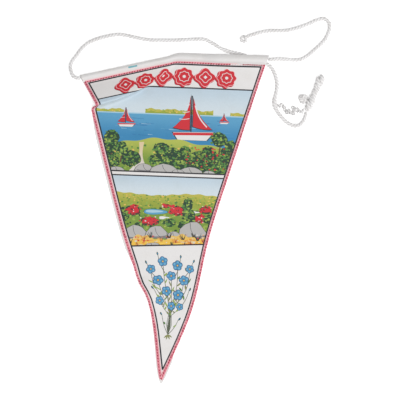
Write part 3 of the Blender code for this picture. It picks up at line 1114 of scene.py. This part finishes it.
def face_outwards(piece):
    mesh = bmesh.new()
    mesh.from_mesh(piece.data)
    bmesh.ops.recalc_face_normals(mesh, faces=mesh.faces)
    mesh.to_mesh(piece.data)
    mesh.free()


def joined(name, parts, material):
    """The parts as one piece."""
    mesh = bmesh.new()
    for part in parts:
        mesh.from_mesh(part.data)
    data = bpy.data.meshes.new(name)
    mesh.to_mesh(data)
    mesh.free()
    data.materials.append(material)
    data.polygons.foreach_set("material_index", [0] * len(data.polygons))
    for part in parts:
        bpy.data.objects.remove(part)
    piece = bpy.data.objects.new(name, data)
    bpy.context.scene.collection.objects.link(piece)
    return piece


def held_line():
    """The cord's line in the hem, from left to right."""
    share = np.linspace(0, 1, 28)
    across = left_edge(CHANNEL_DOWN) * (1 - share) + right_edge(CHANNEL_DOWN) * share
    down = np.full(len(share), CHANNEL_DOWN)
    return ground(across, down) + CHANNEL_RISE * upright(across, down)


def free_route(held, route):
    """A route on from the end of the held cord, which comes down to the ground and lies on it."""
    outwards = held[-1] - held[-2]
    outwards = outwards / np.linalg.norm(outwards)
    start = held[-1] + GAP * outwards
    points = [start + STRAIGHT * outwards]
    high = points[0][2] - REST
    run = 0.0
    for x, y in route:
        run += math.dist((x, y), points[-1][:2])
        points.append(np.array((x, y, REST + high * (1 - float(smooth(run / SETTLES))))))
    return np.concatenate(([start], smooth_route(points, 0.55)))


def make_free_cord(name, held, route, node, material):
    points = evenly(free_route(held, route) + (0, 0, CROWN - CORD / 2), 0.5)
    from_lump = np.hypot(points[:, 0] - LUMP[0], points[:, 1] - LUMP[1])
    piece = twisted(name, points, CROWN * (1 + LUMP_RISE * hill(from_lump, LUMP_REACH)), material)
    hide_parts(node)
    return piece


def make_yarn(material):
    """The strands of one unlaid yarn, which curl round each other."""
    places = (YARN_FROM, *YARN_ROUTE)
    step = 0.22
    middle = smooth_route([(x, y, YARN / 2 + 0.8) for x, y in places], step)
    _, side, up = frames_along(middle)
    runs = step * np.arange(len(middle))
    parts = []
    for k, (curl, wide, start) in enumerate(FILAMENT_CURLS):
        angle = 2 * math.pi * runs / curl + start
        line = middle + wide * (side * np.cos(angle)[:, None] + 0.5 * up * np.sin(angle)[:, None])
        parts.append(twisted(f"filament_{k}", line, FILAMENT, material, 1.8, 2, 8))
    return joined("loose_curly_yarn", parts, material)


def make_bundle(material):
    """The cord's end doubled back, its three runs wound round each other."""
    step = 0.4
    middle = smooth_route([(x, y, BUNDLE_PROUD * radius + CLEAR) for x, y, radius in BUNDLE], step)
    reach = (middle[:, 2] - CLEAR).clip(1.4)
    _, side, up = frames_along(middle)
    turn = 2 * math.pi * np.arange(len(middle)) * step / BUNDLE_TURN
    parts = []
    for k in (0, 1, 2):
        angle = (turn + 2 * math.pi * k / 3)[:, None]
        line = middle + RUN_APART * reach[:, None] * (side * np.cos(angle) + up * np.sin(angle))
        parts.append(twisted(f"run_{k}", line, RUN_RADIUS * reach, material, 7.0))
    return joined("doubled_cord_end", parts, material)


def make_knot(material):
    """A cord knotted round itself, pulled into a ball."""
    t = np.linspace(0, 2 * math.pi, 150)
    size = KNOT_PROUD * LOOP_KNOT_RADIUS / KNOT_DRAWN
    ring, turned = 1.5 + 0.8 * np.cos(3 * t), 2 * t + KNOT_TURN
    line = np.stack((ring * np.cos(turned), ring * np.sin(turned), 1.2 * np.sin(3 * t)), 1) * size
    line += (*LOOP_KNOT, 0.72 * KNOT_PROUD * LOOP_KNOT_RADIUS)
    line = evenly(line, 0.35 * size)
    return twisted("tied_loop_knot", line, 1.4 * size, material, 6.0 * size, closed=True)


def make_end_loop(material):
    """The cord's last turn, laid back on itself and pulled tight."""
    (x, y), along = END_KNOT, np.linspace(0, 1, 60)
    angle = 0.75 + 2 * math.pi * END_TURNS * along
    reach = 2.2 - 0.25 * along
    # the last third of the turn climbs over its own start
    rise = CROWN - 0.1 + 1.9 * smooth((along - 0.62) / 0.3)
    line = np.stack((x + 0.5 + reach * np.cos(angle), y + 0.2 + reach * np.sin(angle), rise), 1)
    return twisted("turned_back_cord_end", evenly(line, 0.4), 1.4, material, 6.5)


# Stitches

STITCH_UNEVEN = 0.12  # how much longer or shorter a stitch may be than its size


def added(tree, kind, settings=None, **inputs):
    """A node with these settings, its inputs set, or linked where a value is a socket."""
    made = tree.nodes.new(kind)
    for name, value in (settings or {}).items():
        setattr(made, name, value)
    for name, value in inputs.items():
        socket = made.inputs[name.replace("_", " ")]
        if isinstance(value, bpy.types.NodeSocket):
            tree.links.new(value, socket)
        else:
            socket.default_value = value
    return made


def stitch_tree():
    """Stitches at even steps along every line of the mesh that it is given."""
    tree = bpy.data.node_groups.new("stitches_along_a_seam", "GeometryNodeTree")
    sockets = tree.interface
    sockets.new_socket("Seam", in_out="INPUT", socket_type="NodeSocketGeometry")
    for name in ("Pitch", "Length", "Width", "Height", "Slant", "Unevenness"):
        sockets.new_socket(name, in_out="INPUT", socket_type="NodeSocketFloat")
    sockets.new_socket("Seed", in_out="INPUT", socket_type="NodeSocketInt")
    sockets.new_socket("Thread", in_out="INPUT", socket_type="NodeSocketMaterial")
    sockets.new_socket("Stitches", in_out="OUTPUT", socket_type="NodeSocketGeometry")
    given = added(tree, "NodeGroupInput").outputs

    line = added(tree, "GeometryNodeMeshToCurve", Mesh=given["Seam"])
    steps = added(tree, "GeometryNodeResampleCurve", {"mode": "LENGTH"},
                  Curve=line.outputs["Curve"], Length=given["Pitch"])
    bead = added(tree, "GeometryNodeMeshUVSphere", Segments=8, Rings=6, Radius=0.5)
    size = added(tree, "ShaderNodeCombineXYZ", X=given["Length"], Y=given["Width"], Z=given["Height"])
    uneven = added(tree, "FunctionNodeRandomValue", Seed=given["Seed"])
    for operation, limit in (("SUBTRACT", uneven.inputs[2]), ("ADD", uneven.inputs[3])):
        share = added(tree, "ShaderNodeMath", {"operation": operation})
        share.inputs[0].default_value = 1.0
        tree.links.new(given["Unevenness"], share.inputs[1])
        tree.links.new(share.outputs[0], limit)
    varied = added(tree, "ShaderNodeVectorMath", {"operation": "SCALE"}, Scale=uneven.outputs[1])
    tree.links.new(size.outputs["Vector"], varied.inputs[0])
    tangent = added(tree, "GeometryNodeInputTangent").outputs["Tangent"]
    aim = added(tree, "FunctionNodeAlignRotationToVector", {"axis": "X"}, Vector=tangent)
    lean = added(tree, "FunctionNodeAxisAngleToRotation", Axis=(0.0, 0.0, 1.0), Angle=given["Slant"])
    leaned = added(tree, "FunctionNodeRotateRotation", {"rotation_space": "LOCAL"},
                   Rotation=aim.outputs["Rotation"], Rotate_By=lean.outputs["Rotation"])
    placed = added(tree, "GeometryNodeInstanceOnPoints", Points=steps.outputs["Curve"],
                   Instance=bead.outputs["Mesh"], Rotation=leaned.outputs["Rotation"],
                   Scale=varied.outputs["Vector"])
    real = added(tree, "GeometryNodeRealizeInstances", Geometry=placed.outputs["Instances"])
    rounded = added(tree, "GeometryNodeSetShadeSmooth", Geometry=real.outputs["Geometry"])
    finish = added(tree, "GeometryNodeSetMaterial", Geometry=rounded.outputs["Geometry"],
                   Material=given["Thread"])
    added(tree, "NodeGroupOutput", Stitches=finish.outputs["Geometry"])
    return tree


def sew(name, seams, tree, thread, pitch, length, width, tall, slant, seed):
    """Stitches of one kind along these lines, each a list of points in metres."""
    vertices, edges = [], []
    for seam in seams:
        edges += [(len(vertices) + k, len(vertices) + k + 1) for k in range(len(seam) - 1)]
        vertices += [tuple(p) for p in seam]
    mesh = bpy.data.meshes.new(name + "_lines")
    mesh.from_pydata(vertices, edges, [])
    lines = bpy.data.objects.new(name + "_lines", mesh)
    bpy.context.scene.collection.objects.link(lines)
    modifier = lines.modifiers.new("stitches", "NODES")
    modifier.node_group = tree
    values = {"Pitch": MM * pitch, "Length": MM * length, "Width": MM * width, "Height": MM * tall}
    values |= {"Slant": slant, "Unevenness": STITCH_UNEVEN, "Seed": seed, "Thread": thread}
    for socket in tree.interface.items_tree:
        if socket.in_out == "INPUT" and socket.name in values:
            modifier[socket.identifier] = values[socket.name]
    ready = lines.evaluated_get(bpy.context.evaluated_depsgraph_get())
    result = bpy.data.meshes.new_from_object(ready)
    lines.modifiers.clear()
    bpy.data.objects.remove(lines)
    result.name = name
    piece = bpy.data.objects.new(name, result)
    bpy.context.scene.collection.objects.link(piece)
    return piece


def seam_line(side, out, rise, start=STITCH, end=252.8):
    downs = np.arange(start, end, 0.8)
    across = np.array([seam_place(side, down, out) for down in downs])
    return lay(across, downs, THIN + rise)


def hem_line(left, right, down, rise):
    across = np.arange(left, right, 0.8)
    return lay(across, np.full(len(across), down), THIN + rise)


def make_stitching(crimson, rose, pale):
    """The sewn edge: crossing threads, a dashed row over them and a pale row on its inner side."""
    tree = stitch_tree()
    middle = [seam_line(-1, LEFT_SEAM, 0.05), seam_line(1, RIGHT_SEAM, 0.05)]
    dashed = [seam_line(-1, LEFT_SEAM + 0.15, 0.38), seam_line(1, RIGHT_SEAM + 0.15, 0.38)]
    inner = [seam_line(-1, LEFT_SEAM - 0.95, 0.3), seam_line(1, RIGHT_SEAM - 0.95, 0.3)]
    hem = hem_line(HEM_SEAM_START, HEM_SEAM_END, STITCH - 0.1, 0.1)
    hem_dashes = hem_line(HEM_SEAM_START, HEM_SEAM_END, STITCH - 0.1, 0.35)
    last = hem_line(LAST_DASHES, 73.8, STITCH, 0.25)
    faded = hem_line(HEM_SEAM_END, LAST_DASHES, STITCH, 0.1)
    rows = (
        sew("crimson_edge_dashes", dashed, tree, crimson,
            pitch=2.3, length=1.5, width=0.8, tall=0.5, slant=0.3, seed=5),
        sew("crimson_hem_dashes", [hem_dashes], tree, crimson,
            pitch=2.1, length=1.5, width=0.95, tall=0.5, slant=0.5, seed=9),
        sew("crimson_last_dashes", [last], tree, crimson,
            pitch=1.7, length=1.9, width=0.8, tall=0.5, slant=0.1, seed=11),
    )
    crossing = (
        sew("rose_edge_crossing", middle, tree, rose,
            pitch=0.95, length=3.1, width=0.75, tall=0.55, slant=1.05, seed=13),
        sew("rose_hem_crossing", [hem], tree, rose,
            pitch=1.0, length=1.9, width=0.7, tall=0.5, slant=0.9, seed=17),
    )
    light = (
        sew("pale_edge_row", inner, tree, pale,
            pitch=2.3, length=1.5, width=0.6, tall=0.4, slant=0.2, seed=19),
        sew("pale_hem_row", [faded], tree, pale,
            pitch=1.9, length=1.6, width=0.7, tall=0.4, slant=0.3, seed=15),
    )
    return (
        joined("crimson_seam_stitches", rows, crimson),
        joined("rose_seam_stitches", crossing, rose),
        joined("pale_seam_stitches", light, pale),
    )


# Finishes


def new_finish(name, roughness, sheen, specular):
    material = bpy.data.materials.new(name)
    material.use_nodes = True
    shader = material.node_tree.nodes["Principled BSDF"]
    shader.inputs["Roughness"].default_value = roughness
    shader.inputs["Sheen Weight"].default_value = sheen
    shader.inputs["Sheen Roughness"].default_value = 0.4
    shader.inputs["Specular IOR Level"].default_value = specular
    return material, material.node_tree, shader


def mixed(tree, kind, factor, one, other):
    """A colour mix of the given kind."""
    mix = added(tree, "ShaderNodeMix", {"data_type": "RGBA", "blend_type": kind})
    for socket, value in ((mix.inputs[0], factor), (mix.inputs[6], one), (mix.inputs[7], other)):
        if isinstance(value, bpy.types.NodeSocket):
            tree.links.new(value, socket)
        else:
            socket.default_value = value if isinstance(value, float) else (*value, 1.0)
    return mix.outputs[2]


def ranged(tree, value, low, high, from_low=0.0, from_high=1.0):
    return added(tree, "ShaderNodeMapRange", Value=value, From_Min=from_low, From_Max=from_high,
                 To_Min=low, To_Max=high).outputs["Result"]


def satin_finish():
    """Printed satin: the ink, a fine weave, faint soiling and a soft sheen."""
    material, tree, shader = new_finish("printed_white_satin", 0.5, 0.25, 0.35)
    ink = added(tree, "ShaderNodeVertexColor", {"layer_name": "print_ink"})
    place = added(tree, "ShaderNodeUVMap", {"uv_map": "OFBake"}).outputs["UV"]
    here = added(tree, "ShaderNodeTexCoord").outputs["Object"]
    blotch = added(tree, "ShaderNodeTexNoise", Vector=here, Scale=55.0, Detail=4.0).outputs["Fac"]
    grain = added(tree, "ShaderNodeTexNoise", Vector=here, Scale=900.0, Detail=3.0).outputs["Fac"]
    uneven = ranged(tree, grain, 0.975, 1.015, 0.3, 0.7)
    tinted = mixed(tree, "MULTIPLY", 1.0, ink.outputs["Color"], uneven)
    soil = ranged(tree, blotch, 0.0, 0.16, 0.5, 0.8)
    soiled = mixed(tree, "MULTIPLY", soil, tinted, linear(222, 208, 184))
    warps = added(tree, "ShaderNodeTexWave", Vector=place, Scale=160.0, Distortion=0.4)
    wefts = added(tree, "ShaderNodeTexWave", {"bands_direction": "Y"}, Vector=place, Scale=130.0,
                  Distortion=0.6)
    woven = mixed(tree, "MULTIPLY", 1.0, warps.outputs["Color"], wefts.outputs["Color"])
    threads = mixed(tree, "MULTIPLY", ranged(tree, woven, 0.14, 0.0), soiled, linear(176, 172, 172))
    tree.links.new(threads, shader.inputs["Base Color"])
    tree.links.new(ranged(tree, blotch, 0.42, 0.62, 0.3, 0.7), shader.inputs["Roughness"])
    bump = added(tree, "ShaderNodeBump", Height=woven, Strength=0.25, Distance=0.0001)
    creased = added(tree, "ShaderNodeTexNoise", Vector=here, Scale=22.0, Detail=1.0)
    soft = added(tree, "ShaderNodeBump", Height=creased.outputs["Fac"], Strength=0.2, Distance=0.001,
                 Normal=bump.outputs["Normal"])
    tree.links.new(soft.outputs["Normal"], shader.inputs["Normal"])
    return material


def cord_finish():
    """White cotton cord: fibres along the strands, with painted shade between them, where the grooves lie.
    """
    material, tree, shader = new_finish("white_cotton_cord", 0.85, 0.4, 0.2)
    place = added(tree, "ShaderNodeUVMap", {"uv_map": "strands"}).outputs["UV"]
    here = added(tree, "ShaderNodeTexCoord").outputs["Object"]
    # Painted shade: the grooves between the strands are darkened in the colour.
    groove_shade = added(tree, "ShaderNodeAttribute", {"attribute_name": "groove_shade"})
    painted_groove_shade = ranged(tree, groove_shade.outputs["Fac"], 0.0, 0.55, 0.2, 1.0)
    blotch = added(tree, "ShaderNodeTexNoise", Vector=here, Scale=180.0, Detail=4.0).outputs["Fac"]
    fibres = added(tree, "ShaderNodeTexNoise", Vector=place, Scale=46.0, Detail=4.0)
    tone = mixed(tree, "MIX", ranged(tree, blotch, 0.0, 1.0, 0.35, 0.7), linear(248, 247, 247),
                 linear(237, 235, 234))
    streaked = mixed(tree, "MULTIPLY", ranged(tree, fibres.outputs["Fac"], 0.35, 0.0, 0.35, 0.6), tone,
                     linear(186, 183, 182))
    # Painted shade in the grooves between the strands.
    shaded = mixed(tree, "MULTIPLY", painted_groove_shade, streaked, linear(196, 195, 196))
    tree.links.new(shaded, shader.inputs["Base Color"])
    tree.links.new(ranged(tree, blotch, 0.75, 0.95, 0.3, 0.7), shader.inputs["Roughness"])
    bump = added(tree, "ShaderNodeBump", Height=fibres.outputs["Fac"], Strength=0.5, Distance=0.00012)
    tree.links.new(bump.outputs["Normal"], shader.inputs["Normal"])
    return material


def thread_finish(name, colour, dark):
    """Sewing thread, whose colour varies from stitch to stitch."""
    material, tree, shader = new_finish(name, 0.6, 0.2, 0.3)
    here = added(tree, "ShaderNodeTexCoord").outputs["Object"]
    patchy = added(tree, "ShaderNodeTexNoise", Vector=here, Scale=420.0, Detail=2.0).outputs["Fac"]
    plies = added(tree, "ShaderNodeTexWave", {"bands_direction": "DIAGONAL"}, Vector=here, Scale=900.0,
                  Distortion=1.5)
    tone = mixed(tree, "MIX", ranged(tree, patchy, 0.0, 1.0, 0.35, 0.7), colour, dark)
    ply = mixed(tree, "MULTIPLY", ranged(tree, plies.outputs["Fac"], 0.25, 0.0), tone, dark)
    tree.links.new(ply, shader.inputs["Base Color"])
    tree.links.new(ranged(tree, patchy, 0.5, 0.7, 0.3, 0.7), shader.inputs["Roughness"])
    bump = added(tree, "ShaderNodeBump", Height=plies.outputs["Fac"], Strength=0.4, Distance=0.00008)
    tree.links.new(bump.outputs["Normal"], shader.inputs["Normal"])
    return material


# The photograph's view, light and floor

VIEW_MIDDLE = (0.0205, 0.0143)
VIEW_WIDE = 0.320
VIEW_HIGH = 1.6
FLOOR_REACH = 3.0
FLOOR_TONE, FLOOR_GLOW = 0.95, 0.42
SKY_LIGHT = 0.5
LAMP_POWER, LAMP_WIDE = 18.5, 1.0
LAMP_PLACE = (0.6, -0.5, 1.4)


def make_camera():
    camera = bpy.data.cameras.new("camera")
    camera.sensor_width = 36.0
    camera.lens = 36.0 * VIEW_HIGH / VIEW_WIDE
    camera.clip_end = 20.0
    made = bpy.data.objects.new("camera", camera)
    made.location = (*VIEW_MIDDLE, VIEW_HIGH)
    bpy.context.scene.collection.objects.link(made)
    bpy.context.scene.camera = made


def make_stage():
    mesh = bpy.data.meshes.new("floor")
    far = FLOOR_REACH
    mesh.from_pydata([(-far, -far, 0), (far, -far, 0), (far, far, 0), (-far, far, 0)], [], [(0, 1, 2, 3)])
    floor = bpy.data.objects.new("floor", mesh)
    bpy.context.scene.collection.objects.link(floor)
    white = bpy.data.materials.new("white_floor")
    white.use_nodes = True
    shader = white.node_tree.nodes["Principled BSDF"]
    shader.inputs["Base Color"].default_value = (FLOOR_TONE, FLOOR_TONE, FLOOR_TONE, 1.0)
    shader.inputs["Roughness"].default_value = 0.9
    shader.inputs["Specular IOR Level"].default_value = 0.1
    shader.inputs["Emission Color"].default_value = (1.0, 1.0, 1.0, 1.0)
    shader.inputs["Emission Strength"].default_value = FLOOR_GLOW
    mesh.materials.append(white)


def make_light():
    world = bpy.data.worlds.new("soft_studio")
    world.use_nodes = True
    sky = world.node_tree.nodes["Background"]
    sky.inputs["Color"].default_value = (1.0, 1.0, 1.0, 1.0)
    sky.inputs["Strength"].default_value = SKY_LIGHT
    bpy.context.scene.world = world
    lamp = bpy.data.lights.new("soft_box", "AREA")
    lamp.shape = "SQUARE"
    lamp.size = LAMP_WIDE
    lamp.energy = LAMP_POWER
    made = bpy.data.objects.new("soft_box", lamp)
    made.location = LAMP_PLACE
    made.rotation_euler = (-made.location).to_track_quat("-Z", "Y").to_euler()
    bpy.context.scene.collection.objects.link(made)
    bpy.context.scene.view_settings.view_transform = "Standard"


def dress():
    """All the pieces, in their finishes, on the model's body, with the model's parts that they replace
    hidden.
    """
    cotton = cord_finish()
    held = held_line()
    bundle = make_bundle(cotton)
    knot = make_knot(cotton)
    end_knot = make_end_loop(cotton)
    yarn = make_yarn(cotton)
    for piece, node in ((bundle, "loop_bundle"), (knot, "loop_knot"), (end_knot, "end_knot"),
                        (yarn, "loose_yarn")):
        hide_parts(node)
    loop = make_free_cord("twisted_loop_cord", held[::-1], LOOP_ROUTE, "loop_cord", cotton)
    end = make_free_cord("twisted_end_cord", held, END_ROUTE, "end_cord", cotton)
    inside = twisted("twisted_hem_cord", evenly(held, 0.6), CROWN, cotton)
    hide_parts("hem_cord")
    cloth = make_cloth(satin_finish())
    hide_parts("pennant_cloth")
    stitches = make_stitching(
        thread_finish("crimson_seam_thread", CRIMSON, CRIMSON_SHADE),
        thread_finish("rose_seam_thread", ROSE, ROSE_SHADE),
        thread_finish("pale_seam_thread", PINK, PINK_SHADE),
    )
    for piece in (bundle, knot, end_knot, yarn, loop, end, inside, cloth, *stitches):
        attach(piece, "root")


make_camera()
make_stage()
make_light()
dress()
